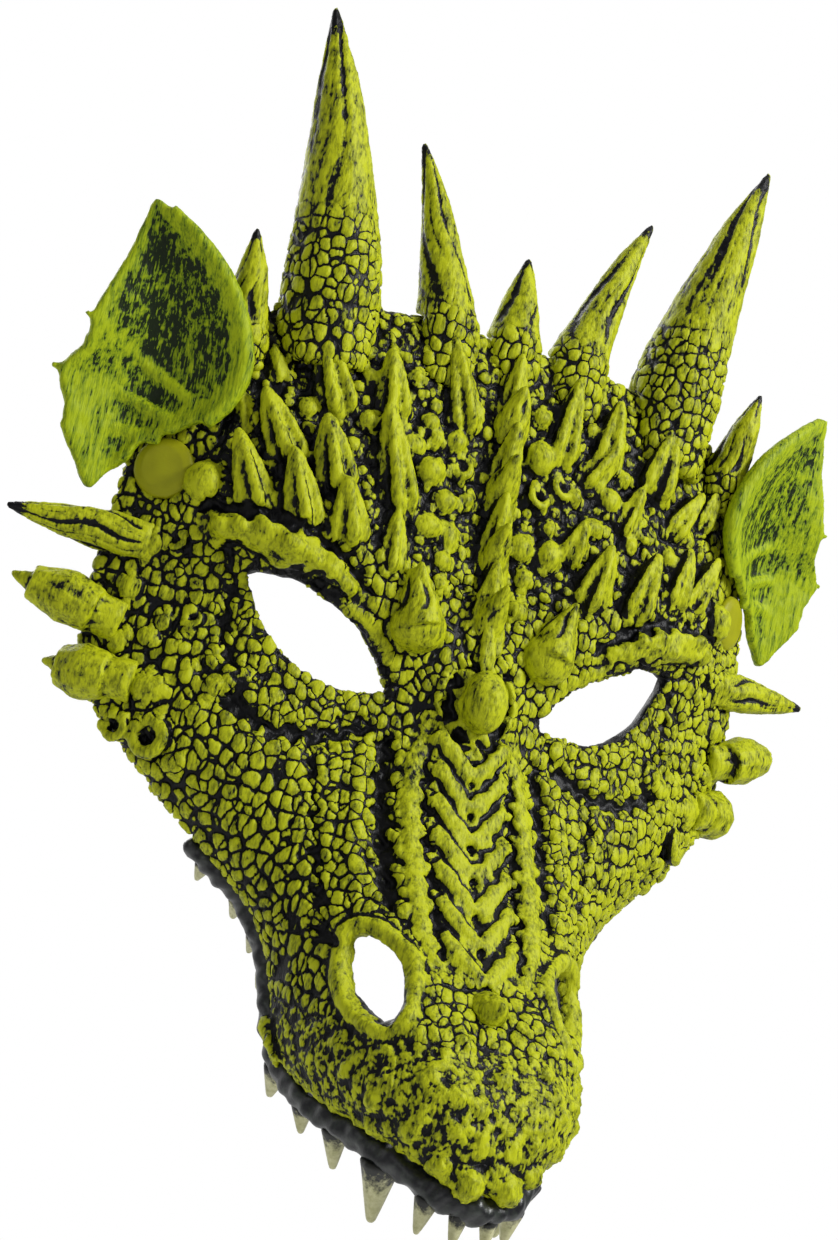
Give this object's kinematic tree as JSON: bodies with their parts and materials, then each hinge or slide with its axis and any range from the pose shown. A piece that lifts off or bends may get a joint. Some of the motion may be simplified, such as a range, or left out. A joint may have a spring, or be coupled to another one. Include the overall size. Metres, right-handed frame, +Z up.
{
  "type": "dragon half-mask",
  "caption": "Wearable moulded-foam dragon half-mask with horns, ear fins, spikes, open eyes and nostrils, upper teeth and a swinging elastic head strap.",
  "frame": {"origin": "where the mask rests on the wearer's face, midway between the inner corners of the eye openings", "axes": "+Z up, -Y the way the mask and its wearer look, +X towards the wearer's left"},
  "size_m": [0.2744, 0.1974, 0.3323],
  "materials": {
    "lime_foam": "satin",
    "fin_foam": "satin",
    "button": "satin",
    "gum_foam": "satin",
    "ivory": "satin",
    "elastic": "woven",
    "black_plastic": "matte",
    "steel": "nickel plated"
  },
  "bodies": {
    "mask": {"face_shell": "lime_foam", "horn_center": "lime_foam", "horn_mid_left": "lime_foam", "horn_mid_right": "lime_foam", "horn_big_left": "lime_foam", "horn_big_right": "lime_foam", "horn_outer_left": "lime_foam", "horn_outer_right": "lime_foam", "ear_fin_left": "fin_foam", "cheek_spike_left_1": "lime_foam", "cheek_spike_left_2": "lime_foam", "cheek_spike_left_3": "lime_foam", "brow_drop_left": "lime_foam", "ear_fin_right": "fin_foam", "cheek_spike_right_1": "lime_foam", "cheek_spike_right_2": "lime_foam", "cheek_spike_right_3": "lime_foam", "brow_drop_right": "lime_foam", "ridge_spike_1": "lime_foam", "ridge_spike_2": "lime_foam", "ridge_spike_3": "lime_foam", "ridge_spike_4": "lime_foam", "nose_knob": "lime_foam", "snout_knob": "lime_foam", "gum": "gum_foam", "tooth_left_1": "ivory", "tooth_left_2": "ivory", "tooth_left_3": "ivory", "tooth_left_4": "ivory", "tooth_left_5": "ivory", "tooth_left_6": "ivory", "tooth_left_7": "ivory", "tooth_left_8": "ivory", "tooth_left_9": "ivory", "tooth_left_10": "ivory", "strap_button_left": "button", "strap_rivet_left": "steel", "strap_tab_left": "black_plastic", "strap_stud_left": "steel", "tooth_right_1": "ivory", "tooth_right_2": "ivory", "tooth_right_3": "ivory", "tooth_right_4": "ivory", "tooth_right_5": "ivory", "tooth_right_6": "ivory", "tooth_right_7": "ivory", "tooth_right_8": "ivory", "tooth_right_9": "ivory", "tooth_right_10": "ivory", "strap_button_right": "button", "strap_rivet_right": "steel", "strap_tab_right": "black_plastic", "strap_stud_right": "steel"},
    "strap": {"strap": "elastic"}
  },
  "joints": [
    {"name": "strap_swing", "type": "hinge", "parent": "mask", "child": "strap", "pos_m": [0, 0.0382, 0.048], "axis": [1, 0, 0], "range_deg": [-60, 60]}
  ]
}
